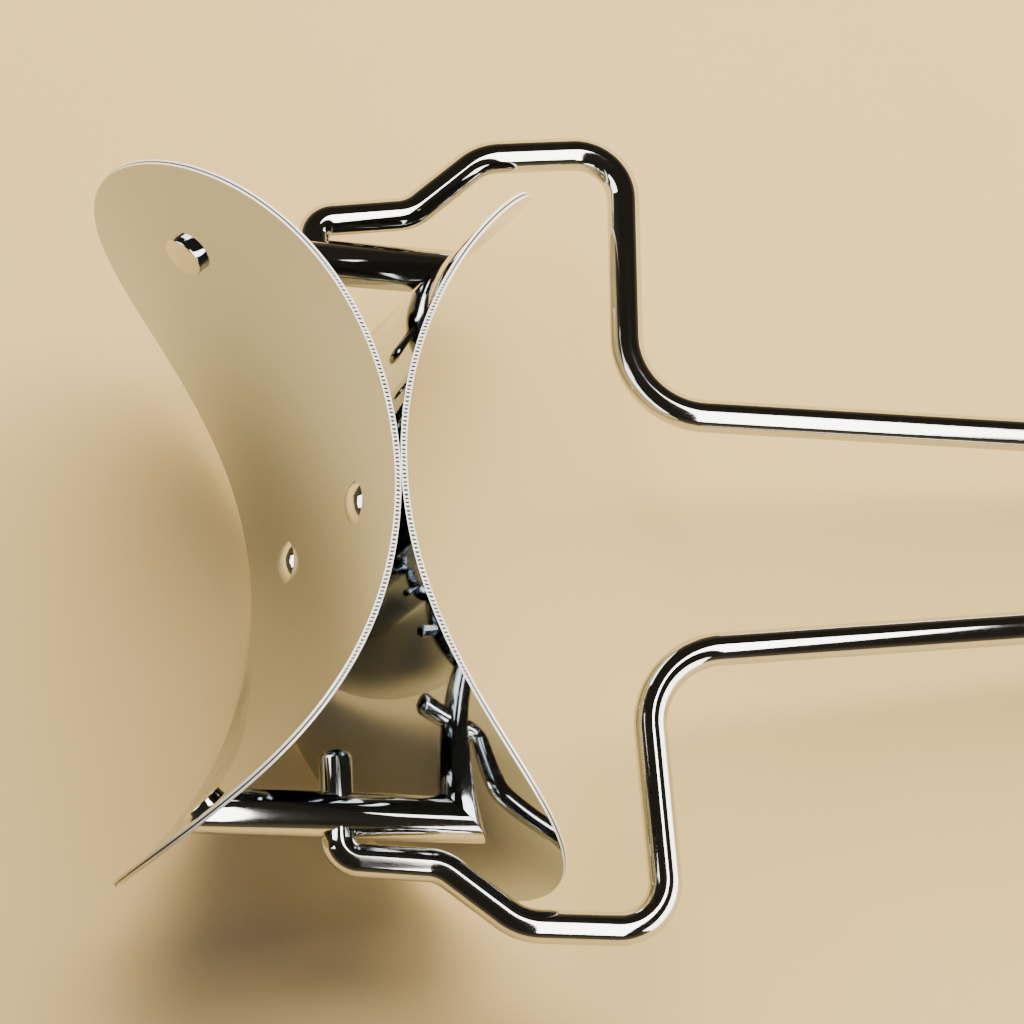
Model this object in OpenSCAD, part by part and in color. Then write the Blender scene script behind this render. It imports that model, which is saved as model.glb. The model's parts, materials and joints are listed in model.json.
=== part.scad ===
// Rolling dough cutter. A turning head of two arched sheet blades, riveted back to back,
// turns on the inturned ends of a sprung wire yoke, which closes into a loop handle.
// The head stands on its rolling edges, and the end of the handle lies on the table.
// +X points from the head to the handle's end, +Y along the spin axis, +Z up, and the
// origin is on the table below the middle of the whole cutter.

/* [Cutting head] */
// Radius of the cylinder that the blade edges roll on
roller_r = 21; // [16:0.5:28]
// Length of a blade along the spin axis, tip to tip at the middle of the sheet
cut_len = 68; // [54:1:90]
// Thickness of the blade sheet
sheet_t = 0.6; // [0.4:0.05:1.2]
// Gap that is left between the backs of the two blades where they are riveted
seam_gap = 0.02; // [0.02:0.01:0.2]
// Lean of the head's upper seam towards the handle, in degrees
head_lean = 20; // [0:1:60]

/* [Seam rivets] */
// Distance between the two rivets that join the blades
seam_rivet_pitch = 19.8; // [10:0.2:24]
// Diameter of the domed heads
seam_head_d = 4.2; // [3.2:0.1:6]
// Height of a domed head at its middle
seam_head_h = 0.8; // [0.6:0.1:1.8]
// Diameter of the shank
seam_shank_d = 2.4; // [1.6:0.1:3]

/* [Spacer bars] */
// Wall of a bar on each side of the cross hole for the wire
bar_wall = 0.52; // [0.3:0.02:1.5]
// Distance from the blade tips to the middle of a bar, along the spin axis
bar_inset = 6.7; // [5.5:0.1:10]

/* [Bar end rivets] */
// Diameter of the flat heads
end_head_d = 4.3; // [3:0.1:6]
// Height of a flat head above the sheet
end_head_h = 0.75; // [0.4:0.05:1.5]
// Bevel round the rim of a flat head
end_head_bevel = 0.12; // [0.05:0.01:0.2]
// Diameter of the shank
end_shank_d = 1.8; // [1.2:0.1:2.2]
// Depth of the shank below the back of the sheet
end_shank_depth = 1.5; // [1:0.1:1.8]

/* [Wire] */
// Diameter of the wire
wire_d = 3.2; // [2.4:0.1:4.2]
// Inside reach of a wire end past the middle of its bar
pin_reach = 6.1; // [4:0.1:8]
// Rounding of the wire ends
pin_round = 0.9; // [0.3:0.1:1.1]
// Inside radius of the tight bend where a wire end leaves its bar
pin_bend_in = 0.4; // [0.1:0.1:1.5]
// Inside radius of the bend where the wire turns out past the blades
jog_bend_in = 2.4; // [1:0.1:4]
// Inside radius of the bend where the wire straightens again past the blades
wide_bend_in = 4; // [2.5:0.1:6]
// Inside radius of the bends at the shoulders
shoulder_bend_in = 3; // [2:0.1:6]
// Inside radius of the bends where the legs start
neck_bend_in = 6.1; // [3:0.1:8]

/* [Yoke] */
// Length of the wire's run beside a bar, from the spin axis
side_run = 9.5; // [8:0.1:11]
// Outward rise of that run
side_rise = 0.8; // [0:0.1:1.2]
// Distance inside the rolling radius at which the wire has stepped out past the blades
step_inset = 4.3; // [2:0.1:5]
// Outward flare of the shoulder along its length
shoulder_flare = 0.7; // [0:0.1:3]
// Inward slant of the cross run between shoulder and neck, along the handle
cross_slant = 0.95; // [0:0.05:2]
// Half the width of the neck where the legs start
neck_half = 12.1; // [11:0.1:16]

/* [Handle] */
// Distance from the spin axis to the far end of the handle
handle_reach = 145; // [115:1:190]
// Half the inside width of the loop at the far end
end_bend_in = 3.8; // [2.5:0.1:7]

/* [Clearances] */
// Radial clearance of a wire end in the cross hole of its bar
pin_clear = 0.08; // [0.03:0.01:0.1]
// Radial clearance of a rivet shank in its hole
shank_clear = 0.04; // [0.02:0.01:0.1]
// Straight stretch of wire between a bar's side and the tight bend
side_gap = 0.14; // [0.1:0.02:1]
// Gap between the blade tips and the wire that has stepped out past them
tip_gap = 2.5; // [1.5:0.1:5]
// Gap between the rolling radius and the cross runs behind the head
back_gap = 8.1; // [3:0.1:14]
// Swelling of the wire's diameter where it is bent
bend_swell = 0.02; // [0.02:0.01:0.1]

/* [Hidden] */
$fn = 96;

sheet_color = [0.80, 0.79, 0.75];
rivet_color = [0.88, 0.88, 0.86];
bar_color = [0.74, 0.74, 0.73];
wire_color = [0.70, 0.70, 0.70];

wire_r = wire_d / 2;
pin_bore_d = wire_d + 2 * pin_clear;
bar_d = pin_bore_d + 2 * bar_wall;
bar_y = cut_len / 2 - bar_inset;
pin_bend_r = wire_r + pin_bend_in;
jog_bend_r = wire_r + jog_bend_in;
wide_bend_r = wire_r + wide_bend_in;
shoulder_bend_r = wire_r + shoulder_bend_in;
neck_bend_r = wire_r + neck_bend_in;
end_bend_r = wire_r + end_bend_in;
bend_d = wire_d + bend_swell;
// The straight runs reach this far into the swollen bends, so that they are one solid
bend_lap = 0.1;

// The sheet's middle surface starts this far from the middle plane of the head
sheet_mid = (seam_gap + sheet_t) / 2;
// Depth of the arch, so that its tips lie on the rolling radius
arch_depth = roller_r - sheet_mid;
arch_steps = 48;
arch_limit = 89;
// Straight run past the tips, which the rolling cylinder trims off again
tip_overrun = 1.2;

// The arch of the blade behind the middle plane. Its edge lies on the rolling cylinder
// and unrolls to a circle, so along the circle's angle s the edge is at the height
// cut_len / 2 * sin(s), and has turned by 90 * cos(s) degrees round the spin axis.
function arch_point(s) = [
    sheet_mid + arch_depth * cos(90 * cos(s)),
    cut_len / 2 * sin(s)
];
function arch_tangent(s) = unit([
    arch_depth * PI / 2 * sin(90 * cos(s)) * sin(s),
    cut_len / 2 * cos(s)
]);
// Side +1 is the hollow side of the sheet, and side -1 its back
function arch_normal(s) = [arch_tangent(s)[1], -arch_tangent(s)[0]];
function arch_side(s, side) = arch_point(s) + side * sheet_t / 2 * arch_normal(s);
function arch_face(side) = concat(
    [arch_side(-arch_limit, side) - tip_overrun * arch_tangent(-arch_limit)],
    [for (i = [0:arch_steps]) arch_side(arch_limit * (2 * i / arch_steps - 1), side)],
    [arch_side(arch_limit, side) + tip_overrun * arch_tangent(arch_limit)]
);
// Angle along the arch at which the middle of a bar meets it
bar_s = asin(bar_y / (cut_len / 2));
bar_mitre = atan2(arch_normal(bar_s)[1], arch_normal(bar_s)[0]);

// Slope of the yoke, at which the end of the handle touches the table
handle_mid_reach = handle_reach - bend_d / 2;
handle_pitch = asin((roller_r - bend_d / 2) / handle_mid_reach);
// Place of the spin axis, with the origin below the middle of the whole cutter
axis_x = (roller_r - handle_mid_reach * cos(handle_pitch) - bend_d / 2) / 2;

// Centre line of one half of the yoke, as corners that the bends then round
pin_turn = 90 - atan(side_rise / side_run);
side_y = bar_y + bar_d / 2 + side_gap + pin_bend_r * tan(pin_turn / 2);
shoulder_y = cut_len / 2 + tip_gap + wire_r;
cross_x = roller_r + back_gap + wire_r;
end_bend_x = handle_mid_reach - end_bend_r;
neck = [cross_x - cross_slant, neck_half];
to_end_bend = [end_bend_x, 0] - neck;
leg_slope = asin(neck_half / norm(to_end_bend)) - asin(end_bend_r / norm(to_end_bend));
leg_end = [end_bend_x + end_bend_r * sin(leg_slope), end_bend_r * cos(leg_slope)];
half_yoke = [
    [0, bar_y - pin_reach],
    [0, side_y],
    [side_run, side_y + side_rise],
    [roller_r - step_inset, shoulder_y],
    [cross_x, shoulder_y + shoulder_flare],
    neck,
    leg_end
];
bend_radii = [0, pin_bend_r, jog_bend_r, wide_bend_r, shoulder_bend_r, neck_bend_r, 0];

function unit(v) = v / norm(v);
function heading(p, q) = atan2(q[1] - p[1], q[0] - p[0]);
function turn_at(i) = let(t = heading(half_yoke[i], half_yoke[i + 1])
    - heading(half_yoke[i - 1], half_yoke[i])) t > 180 ? t - 360 : t < -180 ? t + 360 : t;
// Length of a straight run that the bend at one of its ends takes up
function bend_setback(i) = bend_radii[i] == 0 ? 0 : bend_radii[i] * tan(abs(turn_at(i)) / 2);

// Places what turns with the head
module on_head() {
    translate([axis_x, 0, roller_r]) rotate([0, head_lean, 0]) children();
}

// Places what belongs to the handle
module on_handle() {
    translate([axis_x, 0, roller_r]) rotate([0, handle_pitch, 0]) children();
}

// Everything between the middle plane and one face of the rear blade
module inside_of_face(side) {
    linear_extrude(height = 4 * roller_r, center = true)
        polygon(concat(arch_face(side), [[-roller_r, cut_len], [-roller_r, -cut_len]]));
}

// Everything from the back of the rear blade outwards
module outside_of_back() {
    linear_extrude(height = 4 * roller_r, center = true)
        polygon(concat(arch_face(-1), [[3 * roller_r, cut_len], [3 * roller_r, -cut_len]]));
}

// A cylinder along X that starts behind the middle plane and comes out past the sheet
module through_sheet(d, from, to) {
    translate([from, 0, 0]) rotate([0, 90, 0]) cylinder(h = to - from, d = d);
}

// Puts a piece on the arch where the bar at side y meets it, square to the sheet
module at_bar_end(y_side) {
    at = arch_point(y_side * bar_s);
    translate([at[0], at[1], 0]) rotate([0, 0, y_side * bar_mitre]) children();
}

module rear_blade_sheet() {
    difference() {
        intersection() {
            linear_extrude(height = 3 * roller_r, center = true)
                polygon(concat(arch_face(1), reversed(arch_face(-1))));
            rotate([90, 0, 0]) cylinder(h = 2 * cut_len, r = roller_r, center = true);
        }
        for (z = [-1, 1] * seam_rivet_pitch / 2)
            translate([0, 0, z])
                through_sheet(seam_shank_d + 2 * shank_clear, -sheet_t, 2 * sheet_t + seam_gap);
        for (y_side = [-1, 1])
            at_bar_end(y_side) through_sheet(end_shank_d + 2 * shank_clear, -2 * sheet_t, 2 * sheet_t);
    }
}

function reversed(list) = [for (i = [len(list) - 1:-1:0]) list[i]];

module front_blade() {
    color(sheet_color) on_head() mirror([1, 0, 0]) rear_blade_sheet();
}

module rear_blade() {
    color(sheet_color) on_head() rear_blade_sheet();
}

// A domed head whose middle stands seam_head_h above the hollow side of the rear blade
module domed_head() {
    dome_r = (pow(seam_head_d / 2, 2) + pow(seam_head_h, 2)) / (2 * seam_head_h);
    difference() {
        translate([seam_gap / 2 + sheet_t, 0, 0]) rotate([0, 90, 0]) rotate_extrude() {
            translate([0, -sheet_t / 2]) square([seam_head_d / 2, sheet_t / 2]);
            intersection() {
                translate([0, seam_head_h - dome_r]) circle(r = dome_r);
                square([seam_head_d / 2, seam_head_h]);
            }
        }
        inside_of_face(1);
    }
}

module seam_rivet(z) {
    reach = seam_gap / 2 + sheet_t + seam_head_h / 2;
    translate([0, 0, z]) {
        domed_head();
        mirror([1, 0, 0]) domed_head();
        through_sheet(seam_shank_d, -reach, reach);
    }
}

module upper_seam_rivet() {
    color(rivet_color) on_head() seam_rivet(seam_rivet_pitch / 2);
}

module lower_seam_rivet() {
    color(rivet_color) on_head() seam_rivet(-seam_rivet_pitch / 2);
}

// A round bar along X, mitred onto the backs of both blades, with the cross hole that
// the wire's end turns in and a blind hole in each end for the rivet
module spacer_bar(y_side) {
    difference() {
        translate([0, y_side * bar_y, 0]) rotate([0, 90, 0])
            cylinder(h = 2 * roller_r, d = bar_d, center = true);
        outside_of_back();
        mirror([1, 0, 0]) outside_of_back();
        translate([0, y_side * bar_y, 0]) rotate([90, 0, 0])
            cylinder(h = 2 * bar_d, d = pin_bore_d, center = true);
        for (x_side = [0, 1])
            mirror([x_side, 0, 0]) at_bar_end(y_side)
                through_sheet(
                    end_shank_d + 2 * shank_clear, -sheet_t / 2 - end_shank_depth - shank_clear, sheet_t
                );
    }
}

module left_spacer_bar() {
    color(bar_color) on_head() spacer_bar(1);
}

module right_spacer_bar() {
    color(bar_color) on_head() spacer_bar(-1);
}

// A flat headed rivet through the sheet into the end of a bar
module end_rivet(y_side) {
    top = sheet_t / 2 + end_head_h;
    difference() {
        at_bar_end(y_side) {
            through_sheet(end_head_d, 0, top - end_head_bevel);
            translate([top - end_head_bevel, 0, 0]) rotate([0, 90, 0])
                cylinder(h = end_head_bevel, d1 = end_head_d, d2 = end_head_d - 2 * end_head_bevel);
        }
        inside_of_face(1);
    }
    at_bar_end(y_side) through_sheet(end_shank_d, -sheet_t / 2 - end_shank_depth, sheet_t / 2 + end_head_h / 2);
}

module left_front_end_rivet() {
    color(rivet_color) on_head() mirror([1, 0, 0]) end_rivet(1);
}

module left_rear_end_rivet() {
    color(rivet_color) on_head() end_rivet(1);
}

module right_front_end_rivet() {
    color(rivet_color) on_head() mirror([1, 0, 0]) end_rivet(-1);
}

module right_rear_end_rivet() {
    color(rivet_color) on_head() end_rivet(-1);
}

// The straight stretch from corner i to the next, which laps into the bends at its ends
module wire_run(i) {
    angle = heading(half_yoke[i], half_yoke[i + 1]);
    length = norm(half_yoke[i + 1] - half_yoke[i]) - bend_setback(i) - bend_setback(i + 1);
    translate(half_yoke[i]) rotate([0, 0, angle]) translate([bend_setback(i) - bend_lap, 0, 0])
        rotate([0, 90, 0]) cylinder(h = length + 2 * bend_lap, d = wire_d);
}

// The bend that rounds corner i
module wire_bend(i) {
    angle = heading(half_yoke[i - 1], half_yoke[i]);
    turn = turn_at(i);
    side = sign(turn);
    translate(half_yoke[i]) rotate([0, 0, angle])
        translate([-bend_setback(i), side * bend_radii[i], 0])
            rotate([0, 0, side > 0 ? -90 : 90 + turn])
                rotate_extrude(angle = abs(turn)) translate([bend_radii[i], 0]) circle(d = bend_d);
}

// The wire's rounded end, from the tip to the first bend
module wire_pin() {
    length = side_y - bend_setback(1) - half_yoke[0][1] + bend_lap;
    translate([0, half_yoke[0][1] + length, 0]) rotate([90, 0, 0]) rotate_extrude() {
        square([wire_r, length - pin_round]);
        square([wire_r - pin_round, length]);
        translate([wire_r - pin_round, length - pin_round]) intersection() {
            circle(r = pin_round);
            square(pin_round);
        }
    }
}

module yoke_half() {
    wire_pin();
    for (i = [1:len(half_yoke) - 2]) wire_bend(i);
    for (i = [1:len(half_yoke) - 2]) wire_run(i);
}

module end_bend() {
    translate([end_bend_x, 0, 0]) rotate([0, 0, leg_slope - 90])
        rotate_extrude(angle = 180 - 2 * leg_slope) translate([end_bend_r, 0]) circle(d = bend_d);
}

module wire_yoke() {
    color(wire_color) on_handle() {
        yoke_half();
        mirror([0, 1, 0]) yoke_half();
        end_bend();
    }
}

front_blade();
rear_blade();
upper_seam_rivet();
lower_seam_rivet();
left_spacer_bar();
right_spacer_bar();
left_front_end_rivet();
left_rear_end_rivet();
right_front_end_rivet();
right_rear_end_rivet();
wire_yoke();
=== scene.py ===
"""Looks of a rolling dough cutter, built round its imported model.

The cutter's head is two arched sheet blades riveted back to back and held apart by two
bars. It turns on the inturned ends of a sprung wire, which is also the handle. Every
length is in metres. The head's own pieces are modelled upright about the spin axis and
then leaned, and the wire is modelled flat and then sloped down to the table.
"""

import json
import logging
import math
from collections.abc import Callable, Iterable
from dataclasses import dataclass, field
from enum import Enum

import bmesh
import bpy
from mathutils import Matrix, Vector


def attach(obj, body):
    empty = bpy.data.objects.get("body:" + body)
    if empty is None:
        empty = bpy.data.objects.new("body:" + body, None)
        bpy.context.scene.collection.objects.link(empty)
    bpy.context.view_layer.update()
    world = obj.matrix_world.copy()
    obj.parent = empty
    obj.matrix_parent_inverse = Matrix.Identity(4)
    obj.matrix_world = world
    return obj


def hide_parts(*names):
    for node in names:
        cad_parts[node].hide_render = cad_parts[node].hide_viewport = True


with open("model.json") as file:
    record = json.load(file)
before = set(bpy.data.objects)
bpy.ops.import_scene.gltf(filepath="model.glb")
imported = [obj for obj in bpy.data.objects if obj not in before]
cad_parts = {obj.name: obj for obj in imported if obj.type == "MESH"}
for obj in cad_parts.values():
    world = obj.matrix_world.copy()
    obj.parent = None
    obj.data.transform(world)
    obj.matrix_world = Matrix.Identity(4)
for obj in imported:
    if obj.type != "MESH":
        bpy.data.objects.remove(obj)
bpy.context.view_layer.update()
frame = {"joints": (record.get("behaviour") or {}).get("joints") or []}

MM = 0.001
log = logging.getLogger("dough_cutter")

Socket = bpy.types.NodeSocket
Setting = float | int | tuple | Socket


class Body(Enum):
    """The two bodies of the cutter."""

    HEAD = "head"
    HANDLE = "handle"


class End(Enum):
    """The two ends of the head along its spin axis."""

    LEFT = 1
    RIGHT = -1


class Task(Enum):
    """What a light is there for."""

    TABLE = "lights the table"
    METAL = "shows in the metal"


class Blade(Enum):
    """The two blades, by the way their hollow sides face."""

    FRONT = -1
    REAR = 1


# Modelling bench


def clear_selection() -> None:
    """Leaves object mode on nothing, so that an operator can't act on other pieces."""
    if bpy.context.object and bpy.context.object.mode != "OBJECT":
        bpy.ops.object.mode_set(mode="OBJECT")
    bpy.ops.object.select_all(action="DESELECT")


def select_only(piece: bpy.types.Object) -> None:
    """Makes one object the selected and active one.

    Args:
        piece: The object to work on.
    """
    clear_selection()
    piece.select_set(True)
    bpy.context.view_layer.objects.active = piece


def select_where(piece: bpy.types.Object, kind: str, test: Callable) -> None:
    """Selects what passes a test, in edit mode, and nothing else.

    Args:
        piece: The object in edit mode.
        kind: "verts", "edges" or "faces".
        test: Takes one element of the mesh and says whether it is selected.
    """
    mesh = bmesh.from_edit_mesh(piece.data)
    for element in (*mesh.verts, *mesh.edges, *mesh.faces):
        element.select = False
    modes = {"verts": "VERT", "edges": "EDGE", "faces": "FACE"}
    bpy.context.tool_settings.mesh_select_mode = tuple(kind == name for name in modes)
    for element in getattr(mesh, kind):
        element.select_set(test(element))
    bmesh.update_edit_mesh(piece.data)


def extrude_by(step: Vector) -> None:
    """Extrudes the selected edges along a step."""
    bpy.ops.mesh.extrude_region_move(TRANSFORM_OT_translate={"value": tuple(step)})


def scale_about(centre: Vector, factors: tuple[float, float, float]) -> None:
    """Scales the selection about a point.

    Args:
        centre: The point that stays.
        factors: The scale along x, y and z.
    """
    bpy.ops.transform.resize(value=factors, center_override=tuple(centre))


def apply_modifier(piece: bpy.types.Object, kind: str, **settings: object) -> None:
    """Adds a modifier to a piece, sets it and applies it.

    Args:
        piece: The object that takes the modifier.
        kind: The modifier's type.
        settings: The modifier's properties by name.
    """
    select_only(piece)
    modifier = piece.modifiers.new(kind.lower(), kind)
    for name, value in settings.items():
        setattr(modifier, name, value)
    bpy.ops.object.modifier_apply(modifier=modifier.name)


def place(piece: bpy.types.Object, where: Matrix) -> None:
    """Moves a piece to its place and puts that place into its mesh.

    Args:
        piece: The finished object.
        where: The transform from modelling space to the cutter's frame.
    """
    piece.matrix_world = where @ piece.matrix_world
    select_only(piece)
    bpy.ops.object.transform_apply(location=True, rotation=True, scale=True)


def face_outwards(piece: bpy.types.Object) -> None:
    """Merges doubled points and turns every face outwards."""
    select_only(piece)
    bpy.ops.object.mode_set(mode="EDIT")
    bpy.ops.mesh.select_all(action="SELECT")
    bpy.ops.mesh.remove_doubles(threshold=0.002 * MM)
    bpy.ops.mesh.normals_make_consistent(inside=False)
    bpy.ops.object.mode_set(mode="OBJECT")


def smooth(piece: bpy.types.Object, angle: float) -> None:
    """Shades a piece smooth, except across edges sharper than an angle in degrees."""
    select_only(piece)
    bpy.ops.object.shade_smooth_by_angle(angle=math.radians(angle))


def stack_rings(name: str, rings: list[tuple[float, float]], sides: int) -> bpy.types.Object:
    """Models a turned piece along z by extruding and scaling a circle from ring to ring.

    Args:
        name: The piece's name.
        rings: Radius and height of each ring. A first or last radius of 0 is a pole.
        sides: Number of points in a ring.

    Returns:
        The closed turned piece.
    """
    pole = 1e-6
    sized = [(max(radius, pole), height) for radius, height in rings]
    radius, height = sized[0]
    clear_selection()
    bpy.ops.mesh.primitive_circle_add(
        vertices=sides, radius=radius, fill_type="NGON", location=(0, 0, height)
    )
    piece = bpy.context.object
    piece.name = name
    bpy.ops.object.transform_apply(location=True)
    bpy.ops.object.mode_set(mode="EDIT")
    select_where(piece, "edges", lambda edge: True)
    for next_radius, next_height in sized[1:]:
        extrude_by(Vector((0, 0, next_height - height)))
        ratio = next_radius / radius
        scale_about(Vector((0, 0, next_height)), (ratio, ratio, 1))
        radius, height = next_radius, next_height
    bpy.ops.mesh.edge_face_add()
    bpy.ops.object.mode_set(mode="OBJECT")
    face_outwards(piece)
    return piece


def point_attribute(piece: bpy.types.Object, name: str, values: Iterable[Vector]) -> None:
    """Stores one vector a point on a mesh, for a material to read.

    Args:
        piece: The object whose mesh takes the attribute.
        name: The attribute's name.
        values: One vector for each point, in the mesh's order.
    """
    layer = piece.data.attributes.new(name, "FLOAT_VECTOR", "POINT")
    for item, value in zip(layer.data, values, strict=True):
        item.vector = value


def deliver(piece: bpy.types.Object, body: Body, node: str) -> None:
    """Hands a finished piece to the frame and logs it.

    Args:
        piece: The finished object.
        body: The body that it moves with.
        node: The node that it stands for.
    """
    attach(piece, body.value)
    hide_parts(node)
    log.info("%s: %d faces on %s", piece.name, len(piece.data.polygons), body.value)


# Shader groups and finishes


class Board:
    """A node tree with a short way to place and wire its nodes."""

    def __init__(self, tree: bpy.types.NodeTree) -> None:
        """Takes the tree to work on."""
        self.tree = tree

    def add(self, kind: str, inputs: dict | None = None, **settings: object) -> bpy.types.Node:
        """Adds one node.

        Args:
            kind: The node's type, without the "ShaderNode" in front.
            inputs: Values or sockets for its inputs, by name or number.
            settings: The node's own properties by name.

        Returns:
            The new node.
        """
        node = self.tree.nodes.new("ShaderNode" + kind)
        for name, value in settings.items():
            setattr(node, name, value)
        for key, value in (inputs or {}).items():
            if isinstance(value, Socket):
                self.tree.links.new(value, node.inputs[key])
            else:
                node.inputs[key].default_value = value
        return node

    def group(self, group: bpy.types.NodeTree, inputs: dict | None = None) -> bpy.types.Node:
        """Places a node group with its own values."""
        return self.add("Group", inputs, node_tree=group)

    def math(self, operation: str, *values: Setting) -> Socket:
        """Adds a math node and returns its result."""
        node = self.add("Math", dict(enumerate(values)), operation=operation)
        return node.outputs[0]

    def remap(self, value: Setting, low: float, high: float, to_low: float, to_high: float) -> Socket:
        """Maps a range of values smoothly onto another and returns the result."""
        numbers = {"Value": value, "From Min": low, "From Max": high, "To Min": to_low, "To Max": to_high}
        return self.add("MapRange", numbers, interpolation_type="SMOOTHSTEP").outputs["Result"]

    def noise(self, vector: Setting, scale: float, detail: float = 2.0, roughness: float = 0.5) -> Socket:
        """Adds a noise texture and returns its value."""
        values = {"Vector": vector, "Scale": scale, "Detail": detail, "Roughness": roughness}
        return self.add("TexNoise", values).outputs["Fac"]

    def stretched(self, vector: Setting, scale: tuple, turn: tuple = (0, 0, 0)) -> Socket:
        """Turns and stretches a vector and returns it."""
        return self.add("Mapping", {"Vector": vector, "Scale": scale, "Rotation": turn}).outputs[0]


def new_group(name: str, inputs: dict[str, tuple[str, float]], outputs: Iterable[str]) -> tuple:
    """Makes an empty shader group with named sockets.

    Args:
        name: The group's name.
        inputs: Kind ("Float" or "Vector") and default value of each input.
        outputs: The names of its float outputs.

    Returns:
        The tree, its board, its input node and its output node.
    """
    tree = bpy.data.node_groups.new(name, "ShaderNodeTree")
    for label, (kind, value) in inputs.items():
        socket = tree.interface.new_socket(label, in_out="INPUT", socket_type="NodeSocket" + kind)
        if kind == "Float":
            socket.default_value = value
    for label in outputs:
        tree.interface.new_socket(label, in_out="OUTPUT", socket_type="NodeSocketFloat")
    return tree, Board(tree), tree.nodes.new("NodeGroupInput"), tree.nodes.new("NodeGroupOutput")


def smudge_group() -> bpy.types.NodeTree:
    """Makes the film of finger smudges and dried wipe marks on polished steel.

    Returns:
        A group with the output Film, from 0 on clean steel to 1.
    """
    inputs = {"Vector": ("Vector", 0), "Scale": ("Float", 60.0), "Amount": ("Float", 1.0)}
    tree, board, given, result = new_group("smudges", inputs, ["Film"])
    patches = board.add("TexNoise", {"Vector": given.outputs["Vector"], "Scale": given.outputs["Scale"],
                                     "Detail": 5.0, "Roughness": 0.6, "Distortion": 0.8})
    fine_scale = board.math("MULTIPLY", given.outputs["Scale"], 9.0)
    fine = board.add("TexNoise", {"Vector": given.outputs["Vector"], "Scale": fine_scale,
                                  "Detail": 3.0, "Roughness": 0.7})
    film = board.math("MULTIPLY", board.remap(patches.outputs["Fac"], 0.47, 0.72, 0, 1),
                      board.remap(fine.outputs["Fac"], 0.3, 0.7, 0.45, 1))
    tree.links.new(board.math("MULTIPLY", film, given.outputs["Amount"]), result.inputs["Film"])
    return tree


def scratch_group() -> bpy.types.NodeTree:
    """Makes sparse hair scratches in two directions.

    Returns:
        A group with the output Lines, from 0 on sound metal to 1 in a scratch.
    """
    inputs = {"Vector": ("Vector", 0), "Density": ("Float", 1.0)}
    tree, board, given, result = new_group("hair_scratches", inputs, ["Lines"])
    lines = []
    for turn, stretch in (((0.3, 0.2, 0.5), (40, 900, 60)), ((1.1, -0.4, 1.9), (30, 1100, 50))):
        vector = board.stretched(given.outputs["Vector"], stretch, turn)
        value = board.noise(vector, 1.0, 1.0, 0.4)
        near_middle = board.math("ABSOLUTE", board.math("SUBTRACT", value, 0.5))
        broken = board.remap(board.noise(given.outputs["Vector"], 90.0), 0.52, 0.62, 0, 1)
        lines.append(board.math("MULTIPLY", board.remap(near_middle, 0.0, 0.012, 1, 0), broken))
    both = board.math("MAXIMUM", *lines)
    tree.links.new(board.math("MULTIPLY", both, given.outputs["Density"]), result.inputs["Lines"])
    return tree


def draw_line_group() -> bpy.types.NodeTree:
    """Makes the lines that a drawing die leaves along a wire or bar.

    The vector runs straight along the stock in z, as if the piece had never been bent.

    Returns:
        A group with the outputs Height, and Tone from 0 to 1.
    """
    inputs = {"Vector": ("Vector", 0), "Fineness": ("Float", 2600.0)}
    tree, board, given, result = new_group("draw_lines", inputs, ["Height", "Tone"])
    along = board.stretched(given.outputs["Vector"], (1, 1, 0.012))
    fine = board.add("TexNoise", {"Vector": along, "Scale": given.outputs["Fineness"], "Detail": 3.0})
    broad_scale = board.math("MULTIPLY", given.outputs["Fineness"], 0.22)
    broad = board.add("TexNoise", {"Vector": along, "Scale": broad_scale, "Detail": 2.0})
    tree.links.new(board.math("ADD", fine.outputs["Fac"], broad.outputs["Fac"]), result.inputs["Height"])
    tree.links.new(board.remap(broad.outputs["Fac"], 0.4, 0.65, 0, 1), result.inputs["Tone"])
    return tree


@dataclass(frozen=True)
class Steel:
    """A bright stainless finish: what all the metal finishes share."""

    name: str
    color: tuple[float, float, float]
    gloss: float
    smudged: float
    scratched: float
    ripple: float
    film_gain: float = 0.16
    scratch_gain: float = 0.12
    scratch_depth: float = -0.02
    ripple_scale: float = 70.0
    depth: float = 0.02 * MM
    metallic: float = 1.0

    def surface(self, board: Board, vector: Socket) -> tuple[Socket, Socket]:
        """Makes the roughness and the ripple height of worn polished steel.

        Args:
            board: The material's nodes.
            vector: The place on the piece.

        Returns:
            The roughness and the height, both changing over the surface.
        """
        film = board.group(GROUPS["smudges"], {"Vector": vector, "Amount": self.smudged})
        lines = board.group(GROUPS["scratches"], {"Vector": vector, "Density": self.scratched})
        film_rough = board.math("MULTIPLY_ADD", film.outputs["Film"], self.film_gain, self.gloss)
        rough = board.math("MULTIPLY_ADD", lines.outputs["Lines"], self.scratch_gain, film_rough)
        ripple = board.math("MULTIPLY", board.noise(vector, self.ripple_scale, 1.0), self.ripple)
        height = board.math("MULTIPLY_ADD", lines.outputs["Lines"], self.scratch_depth, ripple)
        return rough, height

    def start(self) -> tuple[bpy.types.Material, Board, bpy.types.Node]:
        """Makes the material with its metal shader.

        Returns:
            The material, its board and its shader node.
        """
        material = bpy.data.materials.new(self.name)
        material.use_nodes = True
        board = Board(material.node_tree)
        shader = material.node_tree.nodes["Principled BSDF"]
        shader.inputs["Metallic"].default_value = self.metallic
        shader.inputs["Base Color"].default_value = (*self.color, 1)
        return material, board, shader

    def finish(self, board: Board, shader: bpy.types.Node, rough: Socket, height: Socket) -> None:
        """Wires roughness and bump into the shader.

        Args:
            board: The material's nodes.
            shader: Its shader node.
            rough: The roughness.
            height: The height of the bump, where 1 is as high as the finish's depth.
        """
        bump = board.add("Bump", {"Height": height, "Strength": 1.0, "Distance": self.depth})
        board.tree.links.new(rough, shader.inputs["Roughness"])
        board.tree.links.new(bump.outputs["Normal"], shader.inputs["Normal"])


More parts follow.
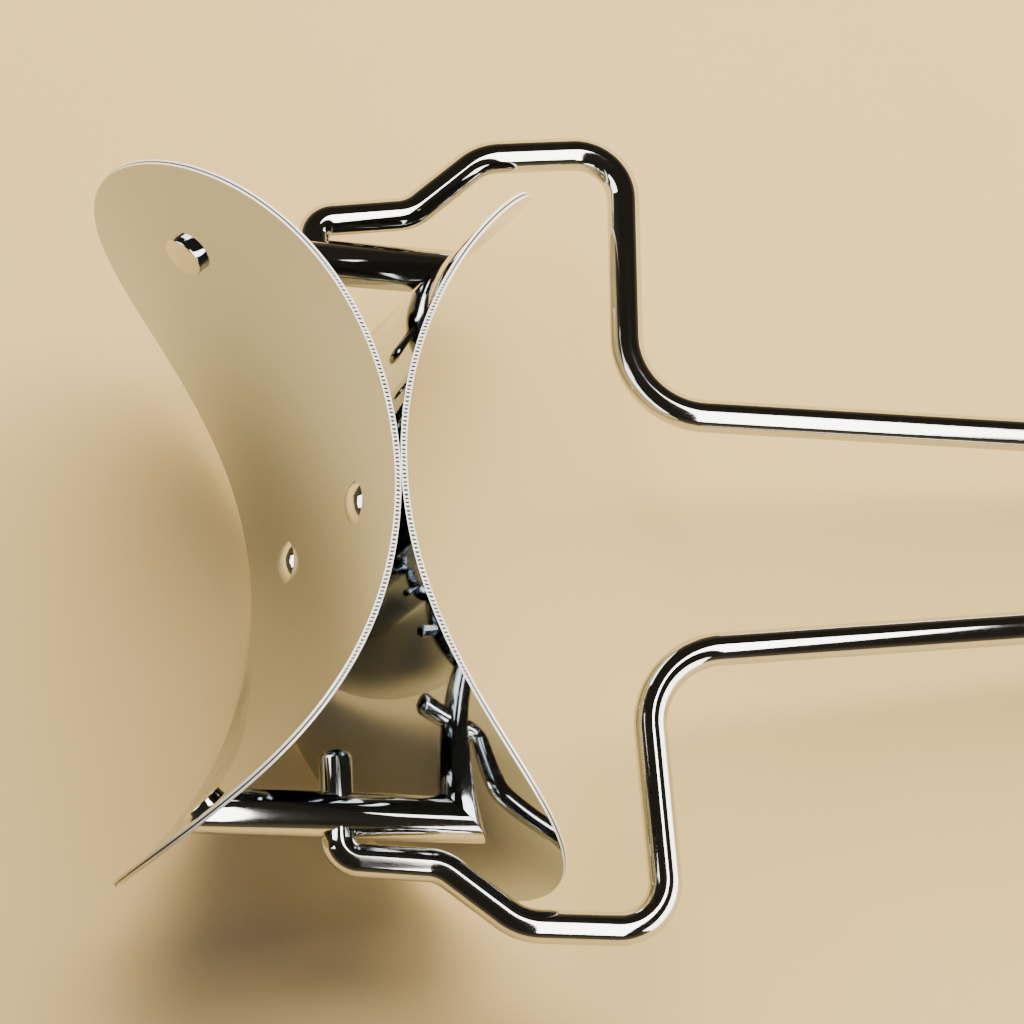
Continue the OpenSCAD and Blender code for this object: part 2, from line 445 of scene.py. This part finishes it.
@dataclass(frozen=True)
class PolishedSheet(Steel):
    """Mirror polished sheet, a little rippled by bending, with smudges."""

    def material(self) -> bpy.types.Material:
        """Builds the material."""
        material, board, shader = self.start()
        place_on = board.add("TexCoord").outputs["Object"]
        rough, height = self.surface(board, place_on)
        self.finish(board, shader, rough, height)
        return material


@dataclass(frozen=True)
class RimWithPaintedLight(Steel):
    """The cut edge of the sheet, near white as a painted highlight, with a painted dark reflection: rows of
    dark dots in the middle run and a dark line along the rim towards the ends.
    """

    # Sizes of the painted dark reflection: pitch and half width of the dots, half width of the line, and the
    # run over which dots take the line's place
    pitch: float = 0.39 * MM
    dark_dot_half: float = 0.2 * MM
    line_half: float = 0.09 * MM
    dotted_to: float = 19 * MM
    fade: float = 6 * MM
    # Colour of the painted dark reflection on the rim
    shade: tuple[float, float, float] = (0.03, 0.026, 0.02)
    wobble_scale: float = 900.0
    wobble: float = 5.0

    def material(self) -> bpy.types.Material:
        """Builds the material, which reads the place along and across the rim."""
        material, board, shader = self.start()
        place_on = board.add("Attribute", attribute_name="rim_run").outputs["Vector"]
        split = board.add("SeparateXYZ", {"Vector": place_on})
        even = board.math("DIVIDE", split.outputs["X"], self.pitch / math.tau)
        turns = board.math("MULTIPLY_ADD", board.noise(place_on, self.wobble_scale), self.wobble, even)
        across = board.math("ABSOLUTE", split.outputs["Y"])
        from_middle = board.math("ABSOLUTE", split.outputs["X"])
        dotted_run = board.remap(from_middle, self.dotted_to - self.fade, self.dotted_to + self.fade, 1, 0)
        # Painted dark reflection: dark dots in the middle run, a dark line along the rim towards the ends
        dark_dots = board.math("MULTIPLY", board.remap(board.math("COSINE", turns), -0.3, 0.2, 0, 1),
                           board.remap(across, self.dark_dot_half * 0.6, self.dark_dot_half * 1.3, 1, 0))
        line = board.remap(across, self.line_half * 0.5, self.line_half * 1.5, 1, 0)
        dark_reflection_mask = board.math("ADD", board.math("MULTIPLY", dark_dots, dotted_run),
                         board.math("MULTIPLY", line, board.math("SUBTRACT", 1.0, dotted_run)))
        # Near-white painted highlight, darkened to the painted dark reflection under the dots and the line
        tone = board.add("MixRGB", {"Fac": dark_reflection_mask, "Color1": (*self.color, 1), "Color2": (*self.shade, 1)})
        board.tree.links.new(tone.outputs["Color"], shader.inputs["Base Color"])
        rough, height = self.surface(board, board.add("TexCoord").outputs["Object"])
        self.finish(board, shader, rough, board.math("SUBTRACT", height, dark_reflection_mask))
        return material


@dataclass(frozen=True)
class DrawnStock(Steel):
    """Bright drawn wire or bar, with the die's lines along it."""

    depth: float = 0.0008 * MM
    fineness: float = 2600.0
    line_rough: float = 0.05
    surface_share: float = 0.1

    def material(self) -> bpy.types.Material:
        """Builds the material, which reads the piece's straightened place."""
        material, board, shader = self.start()
        straight = board.add("Attribute", attribute_name="straightened").outputs["Vector"]
        lines = board.group(GROUPS["draw_lines"], {"Vector": straight, "Fineness": self.fineness})
        place_on = board.add("TexCoord").outputs["Object"]
        rough, height = self.surface(board, place_on)
        lined_rough = board.math("MULTIPLY_ADD", lines.outputs["Tone"], self.line_rough, rough)
        lined = board.math("MULTIPLY_ADD", height, self.surface_share, lines.outputs["Height"])
        self.finish(board, shader, lined_rough, lined)
        return material


@dataclass(frozen=True)
class RivetSteel(Steel):
    """Rivet heads, closed by a hammer or a press, with soft dents."""

    dent_scale: float = 900.0
    dent_height: float = 1.5

    def material(self) -> bpy.types.Material:
        """Builds the material."""
        material, board, shader = self.start()
        place_on = board.add("TexCoord").outputs["Object"]
        rough, height = self.surface(board, place_on)
        dents = board.math("MULTIPLY", board.noise(place_on, self.dent_scale), self.dent_height)
        self.finish(board, shader, rough, board.math("ADD", height, dents))
        return material


@dataclass(frozen=True)
class MattFloor:
    """The plain pale table under the cutter."""

    color: tuple[float, float, float] = (0.66, 0.445, 0.15)

    def material(self) -> bpy.types.Material:
        """Builds the material."""
        material = bpy.data.materials.new("pale_table")
        material.use_nodes = True
        board = Board(material.node_tree)
        shader = material.node_tree.nodes["Principled BSDF"]
        place_on = board.add("TexCoord").outputs["Object"]
        rough = board.remap(board.noise(place_on, 30.0, 4.0), 0.3, 0.7, 0.6, 0.75)
        shader.inputs["Base Color"].default_value = (*self.color, 1)
        board.tree.links.new(rough, shader.inputs["Roughness"])
        return material


GROUPS: dict[str, bpy.types.NodeTree] = {}
FINISHES: dict[str, bpy.types.Material] = {}


def make_finishes() -> None:
    """Builds the shader groups once, and then each finish."""
    GROUPS["smudges"] = smudge_group()
    GROUPS["scratches"] = scratch_group()
    GROUPS["draw_lines"] = draw_line_group()
    steels = (
        PolishedSheet("polished_sheet", (0.51, 0.55, 0.595), gloss=0.04, smudged=0.5, scratched=0.5,
                      ripple=1.0),
        # A cut face scatters most of the light, so little of it is a mirror. Its near-white colour is a
        # painted highlight, which makes the rim read as a bright line under any light.
        RimWithPaintedLight("sheared_rim", (0.93, 0.89, 0.81), gloss=0.32, smudged=0.2, scratched=0.2, ripple=0.3,
                   depth=0.03 * MM, metallic=0.25),
        DrawnStock("drawn_wire", (0.66, 0.65, 0.62), gloss=0.035, smudged=0.3, scratched=0.4, ripple=0.6),
        DrawnStock("bright_bar", (0.68, 0.665, 0.63), gloss=0.04, smudged=0.3, scratched=0.5, ripple=0.6,
                   depth=0.0006 * MM, fineness=2200.0),
        RivetSteel("rivet_steel", (0.72, 0.705, 0.67), gloss=0.05, smudged=0.2, scratched=0.3, ripple=0.5),
    )
    for steel in steels:
        FINISHES[steel.name] = steel.material()
        log.info("finish %s", steel.name)
    FINISHES["pale_table"] = MattFloor().material()


# The cutter


@dataclass
class Placing:
    """Where the head and the handle sit, worked out from the frame."""

    lean: float = math.radians(20)
    axis: Vector = field(default_factory=lambda: Vector(frame["joints"][0]["pos_m"]))

    @property
    def roller_radius(self) -> float:
        """The radius that the blade edges roll on, which is the height of the axis."""
        return self.axis.z

    def head(self) -> Matrix:
        """The transform from the upright head to its leaning place."""
        return Matrix.Translation(self.axis) @ Matrix.Rotation(self.lean, 4, "Y")

    def handle(self, pitch: float) -> Matrix:
        """The transform from the flat yoke to its sloping place, for a slope in radians."""
        return Matrix.Translation(self.axis) @ Matrix.Rotation(pitch, 4, "Y")


@dataclass
class SheetBlade:
    """One arched blade, with the rim that rolls and cuts."""

    placing: Placing
    blade: Blade
    thickness: float
    seam_gap: float
    tip: float = 33.64 * MM
    stations: int = 110
    rim_round: float = 0.07 * MM
    tip_height: float = 0.001 * MM

    def hollow_side(self, turn: float) -> Vector:
        """Finds the upper rim point of the hollow side of the rear blade.

        The rim lies on the rolling cylinder and unrolls to a circle.

        Args:
            turn: Angle round the spin axis, from 0 at a tip to a right angle at the seam.

        Returns:
            The rim point, with the height of the rim as z.
        """
        radius = self.placing.roller_radius
        seam = self.thickness + self.seam_gap / 2
        x = seam + (radius - seam) * math.cos(turn)
        y = self.tip * math.sqrt(max(0.0, 1 - (turn / (math.pi / 2)) ** 2))
        return Vector((x, y, math.sqrt(max(0.0, radius**2 - x**2))))

    def build(self) -> bpy.types.Object:
        """Models the blade.

        Returns:
            The finished blade in place.
        """
        quarter = math.pi / 2
        # Even steps along the circle that the rim unrolls to, from the seam to a tip
        turns = [quarter * math.cos(quarter * i / self.stations) for i in range(self.stations + 1)]
        rim = [self.hollow_side(turn) for turn in turns]
        clear_selection()
        bpy.ops.mesh.primitive_plane_add(size=1)
        sheet = bpy.context.object
        sheet.name = f"{self.blade.name.lower()}_blade_sheet"
        bpy.ops.object.mode_set(mode="EDIT")
        select_where(sheet, "verts", lambda vert: vert.co.x > 0)
        bpy.ops.mesh.delete(type="VERT")
        # The edge that is left stands up as the seam of the sheet
        bpy.ops.mesh.select_all(action="SELECT")
        bpy.ops.transform.resize(value=(0, 1, 1), center_override=(0, 0, 0))
        mesh = bmesh.from_edit_mesh(sheet.data)
        for vert, side in zip(mesh.verts, (-1, 1), strict=True):
            vert.co = Vector((rim[0].x, rim[0].y, side * rim[0].z))
        bmesh.update_edit_mesh(sheet.data)
        for here, there in zip(rim, rim[1:]):
            extrude_by(Vector((there.x - here.x, there.y - here.y, 0)))
            ratio = max(there.z, self.tip_height) / max(here.z, self.tip_height)
            scale_about(Vector((there.x, there.y, 0)), (1, 1, ratio))
        bpy.ops.object.mode_set(mode="OBJECT")
        apply_modifier(sheet, "MIRROR", use_axis=(False, True, False), merge_threshold=0.001 * MM)
        face_outwards(sheet)
        self.face_hollow_side(sheet)
        sheet.data.materials.append(FINISHES["polished_sheet"])
        sheet.data.materials.append(FINISHES["sheared_rim"])
        apply_modifier(sheet, "SOLIDIFY", thickness=self.thickness, offset=-1.0,
                       use_even_offset=True, material_offset_rim=1)
        apply_modifier(sheet, "BEVEL", width=self.rim_round, segments=3, limit_method="ANGLE",
                       angle_limit=math.radians(50), harden_normals=False)
        smooth(sheet, 40)
        point_attribute(sheet, "rim_run", [self.along_rim(v.co, rim) for v in sheet.data.vertices])
        if self.blade is Blade.FRONT:
            sheet.matrix_world = Matrix.Rotation(math.pi, 4, "Z")
        place(sheet, self.placing.head())
        return sheet

    def along_rim(self, point: Vector, rim: list[Vector]) -> Vector:
        """Finds where a point of the rim lies along and across the sheared edge.

        Args:
            point: A point of the rear blade's mesh.
            rim: The hollow side's stations, from the seam to a tip.

        Returns:
            The run from the middle as x, and the place across the sheet as y.
        """
        run = self.tip * math.asin(max(-1.0, min(1.0, point.y / self.tip)))
        beside = Vector((point.x, abs(point.y)))
        across = math.inf
        for here, there in zip(rim, rim[1:]):
            start, end = here.xy, there.xy
            way = end - start
            share = max(0.0, min(1.0, (beside - start).dot(way) / way.length_squared))
            across = min(across, (beside - start - way * share).length)
        return Vector((run, across - self.thickness / 2, 0))

    def face_hollow_side(self, sheet: bpy.types.Object) -> None:
        """Turns the faces of the thin sheet to its hollow side, away from the seam.

        Args:
            sheet: The sheet before it gets its thickness.
        """
        middle = min(sheet.data.polygons, key=lambda face: abs(face.center.y))
        if middle.normal.x < 0:
            select_only(sheet)
            bpy.ops.object.mode_set(mode="EDIT")
            bpy.ops.mesh.select_all(action="SELECT")
            bpy.ops.mesh.flip_normals()
            bpy.ops.object.mode_set(mode="OBJECT")


@dataclass
class CutterHead:
    """The turning head: blades, seam rivets, spacer bars and the rivets in their ends."""

    placing: Placing
    sheet: float = 0.6 * MM
    seam_gap: float = 0.02 * MM
    cut_half: float = 34 * MM
    seam_pitch: float = 19.8 * MM
    dome_radius: float = 2.1 * MM
    dome_height: float = 0.8 * MM
    seam_shank: float = 1.2 * MM
    bar_radius: float = 2.2 * MM
    bar_inset: float = 6.7 * MM
    bar_sides: int = 128
    bar_bevel: float = 0.08 * MM
    bore_sides: int = 96
    bore_radius: float = 1.68 * MM
    end_head_radius: float = 2.15 * MM
    end_head_height: float = 0.75 * MM
    end_bevel: float = 0.14 * MM
    end_shank: float = 0.9 * MM
    end_shank_depth: float = 1.5 * MM

    @property
    def bar_y(self) -> float:
        """Distance of the bars from the middle of the head."""
        return self.cut_half - self.bar_inset

    def sheet_at_bar(self) -> tuple[Vector, float]:
        """Finds where the middle of the rear blade's sheet meets the middle of the left bar.

        Returns:
            The point, and the angle from x to the hollow side's normal, in radians.
        """
        middle = (self.seam_gap + self.sheet) / 2
        depth = self.placing.roller_radius - middle
        along = math.asin(self.bar_y / self.cut_half)
        turn = math.pi / 2 * math.cos(along)
        slope_x = depth * math.pi / 2 * math.sin(turn) * math.sin(along)
        slope_y = self.cut_half * math.cos(along)
        return Vector((middle + depth * math.cos(turn), self.bar_y, 0)), math.atan2(-slope_x, slope_y)

    def build(self) -> None:
        """Builds every piece of the head."""
        for blade in Blade:
            piece = SheetBlade(self.placing, blade, self.sheet, self.seam_gap).build()
            deliver(piece, Body.HEAD, f"{blade.name.lower()}_blade")
        for name, side in (("upper", 1), ("lower", -1)):
            piece = self.seam_rivet(f"{name}_seam_rivet_steel", side * self.seam_pitch / 2)
            deliver(piece, Body.HEAD, f"{name}_seam_rivet")
        for end in End:
            name = f"{end.name.lower()}_spacer_bar"
            deliver(self.spacer_bar(f"{name}_stock", end), Body.HEAD, name)
            for blade in Blade:
                name = f"{end.name.lower()}_{blade.name.lower()}_end_rivet"
                deliver(self.end_rivet(f"{name}_steel", end, blade), Body.HEAD, name)

    def seam_rivet(self, name: str, height: float) -> bpy.types.Object:
        """Models one domed rivet through both blades.

        Args:
            name: The piece's name.
            height: Its height above the spin axis, along the seam.

        Returns:
            The rivet in place.
        """
        foot = self.seam_gap / 2 + self.sheet
        ball = (self.dome_radius**2 + self.dome_height**2) / (2 * self.dome_height)
        spread = math.asin(self.dome_radius / ball)
        steps = 10
        slopes = [spread * i / steps for i in range(steps, -1, -1)]
        dome = [(ball * math.sin(a), foot + self.dome_height - ball * (1 - math.cos(a))) for a in slopes]
        seat = foot - self.sheet / 4
        upper = [(self.seam_shank, seat), (self.dome_radius, seat), *dome]
        lower = [(radius, -along) for radius, along in reversed(upper)]
        piece = stack_rings(name, lower + upper, 48)
        piece.matrix_world = Matrix.Translation((0, 0, height)) @ Matrix.Rotation(math.pi / 2, 4, "Y")
        return self.dressed(piece, "rivet_steel", 38)

    def end_rivet(self, name: str, end: End, blade: Blade) -> bpy.types.Object:
        """Models one flat headed rivet, square to the sheet at the end of a bar.

        Args:
            name: The piece's name.
            end: The end of the head that the bar is at.
            blade: The blade that the rivet holds.

        Returns:
            The rivet in place.
        """
        face = self.sheet / 2
        top = face + self.end_head_height
        bevel = self.end_bevel
        rounding = [
            (self.end_head_radius - bevel * (1 - math.cos(a)), top - bevel * (1 - math.sin(a)))
            for a in (math.radians(15 * i) for i in range(7))
        ]
        seat = face - self.sheet / 4
        rings = [(self.end_shank, -face - self.end_shank_depth), (self.end_shank, seat),
                 (self.end_head_radius, seat), *rounding]
        piece = stack_rings(name, rings, 64)
        point, angle = self.sheet_at_bar()
        square = Matrix.Rotation(angle, 4, "Z") @ Matrix.Rotation(math.pi / 2, 4, "Y")
        flip = Matrix.Diagonal((blade.value, end.value, 1, 1))
        piece.matrix_world = flip @ Matrix.Translation(point) @ square
        return self.dressed(piece, "rivet_steel", 38)

    def spacer_bar(self, name: str, end: End) -> bpy.types.Object:
        """Models one bar, mitred onto both blades, with the cross hole for the wire.

        Args:
            name: The piece's name.
            end: The end of the head that it is at.

        Returns:
            The bar in place.
        """
        clear_selection()
        bpy.ops.mesh.primitive_cylinder_add(
            vertices=self.bar_sides, radius=self.bar_radius, depth=2 * self.placing.roller_radius,
            location=(0, self.bar_y, 0), rotation=(0, math.pi / 2, 0))
        bar = bpy.context.object
        bar.name = name
        bpy.ops.object.transform_apply(location=True, rotation=True)
        point, angle = self.sheet_at_bar()
        for side in (-1, 1):
            normal = Vector((side * math.cos(angle), math.sin(angle), 0))
            back = Vector((side * point.x, point.y, 0)) - normal * self.sheet / 2
            bpy.ops.object.mode_set(mode="EDIT")
            bpy.ops.mesh.select_all(action="SELECT")
            bpy.ops.mesh.bisect(plane_co=back, plane_no=normal, use_fill=True, clear_outer=True)
            bpy.ops.object.mode_set(mode="OBJECT")
        face_outwards(bar)
        apply_modifier(bar, "BEVEL", width=self.bar_bevel, segments=3, limit_method="ANGLE",
                       angle_limit=math.radians(30))
        clear_selection()
        bpy.ops.mesh.primitive_cylinder_add(
            vertices=self.bore_sides, radius=self.bore_radius, depth=4 * self.bar_radius,
            location=(0, self.bar_y, 0), rotation=(math.pi / 2, 0, 0))
        drill = bpy.context.object
        apply_modifier(bar, "BOOLEAN", operation="DIFFERENCE", object=drill, solver="EXACT")
        bpy.data.objects.remove(drill)
        straight = [Vector((v.co.y - self.bar_y, v.co.z, v.co.x)) for v in bar.data.vertices]
        point_attribute(bar, "straightened", straight)
        bar.matrix_world = Matrix.Diagonal((1, end.value, 1, 1))
        return self.dressed(bar, "bright_bar", 28)

    def dressed(self, piece: bpy.types.Object, finish: str, angle: float) -> bpy.types.Object:
        """Gives a piece of the head its finish and its place.

        Args:
            piece: The modelled piece.
            finish: The name of its finish.
            angle: The sharpest edge that is still shaded smooth, in degrees.

        Returns:
            The same piece.
        """
        piece.data.materials.append(FINISHES[finish])
        place(piece, self.placing.head())
        face_outwards(piece)
        smooth(piece, angle)
        return piece


@dataclass
class WireYoke:
    """The sprung wire: two ends, the stepped arms, the legs and the loop.

    bend_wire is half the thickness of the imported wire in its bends, which sets how the far
    end lies on the table. The radii of the bends run from the neck to the pin.
    """

    placing: Placing
    wire: float = 1.6 * MM
    bend_wire: float = 1.61 * MM
    sides: int = 48
    tip_round: float = 0.9 * MM
    pin_reach: float = 6.1 * MM
    bar_y: float = 27.3 * MM
    bar_radius: float = 2.2 * MM
    side_gap: float = 0.14 * MM
    side_run: float = 9.5 * MM
    side_rise: float = 0.8 * MM
    step_inset: float = 4.3 * MM
    cut_half: float = 34 * MM
    tip_gap: float = 2.5 * MM
    back_gap: float = 8.1 * MM
    shoulder_flare: float = 0.7 * MM
    cross_slant: float = 0.95 * MM
    neck_half: float = 12.1 * MM
    handle_reach: float = 145 * MM
    bends: tuple[float, ...] = (7.7 * MM, 4.6 * MM, 5.6 * MM, 4.0 * MM, 2.0 * MM)
    end_bend: float = 5.4 * MM
    loop_steps: int = 28
    tip_steps: int = 8

    @property
    def reach(self) -> float:
        """Distance from the spin axis to the middle of the wire at the far end."""
        return self.handle_reach - self.bend_wire

    @property
    def loop_middle(self) -> Vector:
        """The middle of the round loop at the far end."""
        return Vector((self.reach - self.end_bend, 0, 0))

    @property
    def pitch(self) -> float:
        """Slope at which the far end touches the table, in radians."""
        return math.asin((self.placing.roller_radius - self.bend_wire) / self.reach)

    def corners(self) -> list[Vector]:
        """Finds the corners of the left half, from the end of a leg to the wire's tip.

        Returns:
            The corners that the bends round, with both open ends.
        """
        pin_turn = math.pi / 2 - math.atan(self.side_rise / self.side_run)
        side_y = self.bar_y + self.bar_radius + self.side_gap + self.bends[-1] * math.tan(pin_turn / 2)
        cross_x = self.placing.roller_radius + self.back_gap + self.wire
        shoulder_y = self.cut_half + self.tip_gap + self.wire
        neck = Vector((cross_x - self.cross_slant, self.neck_half, 0))
        span = (self.loop_middle - neck).length
        slope = math.asin(self.neck_half / span) - math.asin(self.end_bend / span)
        leg_end = self.loop_middle + self.end_bend * Vector((math.sin(slope), math.cos(slope), 0))
        return [
            leg_end,
            neck,
            Vector((cross_x, shoulder_y + self.shoulder_flare, 0)),
            Vector((self.placing.roller_radius - self.step_inset, shoulder_y, 0)),
            Vector((self.side_run, side_y + self.side_rise, 0)),
            Vector((0, side_y, 0)),
            Vector((0, self.bar_y - self.pin_reach, 0)),
        ]

    def build(self) -> None:
        """Models the wire and hands it over."""
        corners = self.corners()
        clear_selection()
        bpy.ops.mesh.primitive_circle_add(
            vertices=self.sides, radius=self.wire, location=(self.reach, 0, 0), rotation=(math.pi / 2, 0, 0))
        wire = bpy.context.object
        wire.name = "wire_yoke_drawn"
        bpy.ops.object.transform_apply(location=True, rotation=True)
        bpy.ops.object.mode_set(mode="EDIT")
        select_where(wire, "edges", lambda edge: True)
        first = corners[0] - self.loop_middle
        opened = math.atan2(first.y, first.x)
        self.bend(self.loop_middle, opened, self.loop_steps)
        route: list[tuple] = [("bend", self.loop_middle, 0.0, opened, self.end_bend)]
        here = corners[0]
        for i, radius in enumerate(self.bends, start=1):
            into = (corners[i] - corners[i - 1]).normalized()
            out = (corners[i + 1] - corners[i]).normalized()
            turn = math.atan2(into.x * out.y - into.y * out.x, into.dot(out))
            setback = radius * math.tan(abs(turn) / 2)
            start = corners[i] - into * setback
            side = math.copysign(1, turn)
            middle = start + side * radius * Vector((-into.y, into.x, 0))
            extrude_by(start - here)
            route.append(("run", here, start))
            self.bend(middle, turn, max(8, round(abs(turn) * 18)))
            arm = start - middle
            route.append(("bend", middle, math.atan2(arm.y, arm.x), turn, radius))
            here = corners[i] + out * setback
        tip = corners[-1]
        down = (tip - here).normalized()
        shoulder = tip - down * self.tip_round
        extrude_by(shoulder - here)
        route.append(("run", here, tip))
        self.round_tip(shoulder, down)
        bpy.ops.object.mode_set(mode="OBJECT")
        apply_modifier(wire, "MIRROR", use_axis=(False, True, False), merge_threshold=0.005 * MM)
        face_outwards(wire)
        point_attribute(wire, "straightened", [self.straighten(v.co, route) for v in wire.data.vertices])
        wire.data.materials.append(FINISHES["drawn_wire"])
        place(wire, self.placing.handle(self.pitch))
        smooth(wire, 40)
        deliver(wire, Body.HANDLE, "wire_yoke")

    def bend(self, centre: Vector, turn: float, steps: int) -> None:
        """Spins the selected ring round a bend.

        Args:
            centre: The middle of the bend.
            turn: The angle, positive from x towards y, in radians.
            steps: Number of rings in the bend.
        """
        # With no window, a spin turns against its axis
        bpy.ops.mesh.spin(steps=steps, angle=-turn, center=tuple(centre), axis=(0, 0, 1))

    def round_tip(self, shoulder: Vector, down: Vector) -> None:
        """Rounds the end of the wire off and closes it.

        Args:
            shoulder: The middle of the last full ring.
            down: The direction towards the tip.
        """
        radius = self.wire
        flat = self.wire - self.tip_round
        at = shoulder
        for i in range(1, self.tip_steps + 1):
            angle = math.pi / 2 * i / self.tip_steps
            there = shoulder + down * self.tip_round * math.sin(angle)
            extrude_by(there - at)
            next_radius = flat + self.tip_round * math.cos(angle)
            ratio = next_radius / radius
            scale_about(there, (ratio, 1, ratio))
            at, radius = there, next_radius
        bpy.ops.mesh.edge_face_add()

    def straighten(self, point: Vector, route: list[tuple]) -> Vector:
        """Finds where a point on the bent wire lies on the straight wire.

        Args:
            point: A point of the mesh, in the flat yoke.
            route: The runs and bends of the left half.

        Returns:
            The place across the wire as x and y, and along it as z.
        """
        mirrored = Vector((point.x, abs(point.y), 0))
        best, found, along = math.inf, Vector(), 0.0
        for stretch in route:
            if stretch[0] == "run":
                start, end = stretch[1], stretch[2]
                way = (end - start).normalized()
                length = (end - start).length
                distance = max(0.0, min(length, (mirrored - start).dot(way)))
                middle = start + way * distance
                across = Vector((-way.y, way.x, 0))
            else:
                centre, begin, turn, radius = stretch[1:]
                arm = mirrored - centre
                swept = math.copysign(1, turn) * (math.atan2(arm.y, arm.x) - begin)
                swept = (swept + math.pi) % math.tau - math.pi
                swept = max(0.0, min(abs(turn), swept))
                angle = begin + math.copysign(swept, turn)
                ray = Vector((math.cos(angle), math.sin(angle), 0))
                middle, length, distance = centre + ray * radius, abs(turn) * radius, swept * radius
                across = -math.copysign(1, turn) * ray
            gap = (mirrored - middle).length
            if gap < best:
                best = gap
                found = Vector(((mirrored - middle).dot(across), point.z, along + distance))
            along += length
        return Vector((found.x, found.y, math.copysign(found.z, point.y)))


# The studio


@dataclass
class SoftBox:
    """A flat soft light, placed and sized by how it is seen from the cutter.

    Angles are in degrees from straight overhead, to the right (x) and to the back (y).
    """

    name: str
    x: float
    y: float
    wide: float
    long: float
    glow: float
    task: Task = Task.METAL
    color: tuple[float, float, float] = (1.0, 0.985, 0.95)
    distance: float = 0.6

    def build(self, centre: Vector) -> None:
        """Hangs the light.

        Args:
            centre: The point that it shines at.
        """
        tilt, way = math.radians(math.hypot(self.x, self.y)), math.atan2(self.y, self.x)
        flat = Vector((math.cos(way), math.sin(way), 0))
        away = flat * math.sin(tilt) + Vector((0, 0, math.cos(tilt)))
        back = (Vector((0, 1, 0)) - away * away.y).normalized()
        data = bpy.data.lights.new(self.name, "AREA")
        data.shape = "RECTANGLE"
        data.size, data.size_y = (
            2 * self.distance * math.tan(math.radians(angle / 2)) for angle in (self.wide, self.long)
        )
        data.energy = 4 * data.size * data.size_y * self.glow
        data.color = self.color
        light = bpy.data.objects.new(self.name, data)
        bpy.context.scene.collection.objects.link(light)
        turn = Matrix((back.cross(away), back, away)).transposed().to_4x4()
        light.matrix_world = Matrix.Translation(centre + away * self.distance) @ turn
        light.visible_camera = False
        light.visible_glossy = self.task is Task.METAL
        light.visible_diffuse = self.task is Task.TABLE


@dataclass
class Studio:
    """Table, soft light and camera. Angles are in degrees."""

    centre: Vector
    floor_size: float = 4.0
    room: tuple[float, float, float] = (0.026, 0.023, 0.017)
    horizon: tuple[float, float, float] = (0.16, 0.125, 0.075)
    camera_offset: tuple[float, float, float] = (3.28 * MM, -130.98 * MM, 436.4 * MM)
    azimuth: float = -6.2
    elevation: float = 73.04
    roll: float = 3.43
    lens: float = 169.5

    def lights(self) -> list[SoftBox]:
        """The soft boxes of the studio."""
        return [
            SoftBox("front_box", 21.0, -22, 14, 72, 9.5),
            SoftBox("right_box", 75, -24, 34, 60, 6.0, distance=0.3),
            SoftBox("left_box", -56, 5, 34, 34, 5.0),
            SoftBox("table_box", 29, 44, 76, 62, 9.4, Task.TABLE, distance=0.85),
        ]

    def build(self) -> None:
        """Builds the studio."""
        clear_selection()
        bpy.ops.mesh.primitive_plane_add(size=self.floor_size, location=(0, 0, 0))
        floor = bpy.context.object
        floor.name = "table"
        floor.data.materials.append(FINISHES["pale_table"])
        for box in self.lights():
            box.build(self.centre)
            log.info("light %s", box.name)
        self.walls()
        self.camera()

    def walls(self) -> None:
        """Makes the dim room, which is lighter and warmer near the table."""
        world = bpy.data.worlds.new("dim_room")
        world.use_nodes = True
        board = Board(world.node_tree)
        direction = board.add("TexCoord").outputs["Generated"]
        height = board.add("SeparateXYZ", {"Vector": direction}).outputs["Z"]
        low = board.remap(height, 0.0, 0.5, 1, 0)
        tone = board.add("MixRGB", {"Fac": low, "Color1": (*self.room, 1), "Color2": (*self.horizon, 1)})
        background = world.node_tree.nodes["Background"]
        world.node_tree.links.new(tone.outputs["Color"], background.inputs["Color"])
        bpy.context.scene.world = world

    def camera(self) -> None:
        """Places the camera, which looks steeply down at the head from the handle's right."""
        azimuth, height = math.radians(self.azimuth), math.radians(self.elevation)
        flat = Vector((math.sin(azimuth), -math.cos(azimuth), 0))
        back = flat * math.cos(height) + Vector((0, 0, math.sin(height)))
        right = Vector((math.cos(azimuth), math.sin(azimuth), 0))
        up = back.cross(right)
        turned = Matrix((right, up, back)).transposed() @ Matrix.Rotation(math.radians(self.roll), 3, "Z")
        data = bpy.data.cameras.new("camera")
        data.lens = self.lens
        data.sensor_width = 36.0
        data.clip_start, data.clip_end = 0.01, 20.0
        camera = bpy.data.objects.new("camera", data)
        bpy.context.scene.collection.objects.link(camera)
        camera.matrix_world = Matrix.Translation(self.centre + Vector(self.camera_offset)) @ turned.to_4x4()
        bpy.context.scene.camera = camera


def main() -> None:
    """Builds the studio, the finishes and the cutter."""
    logging.basicConfig(level=logging.INFO, format="%(name)s: %(message)s")
    placing = Placing()
    make_finishes()
    Studio(placing.axis).build()
    CutterHead(placing).build()
    WireYoke(placing).build()


if __name__ == "__main__":
    main()
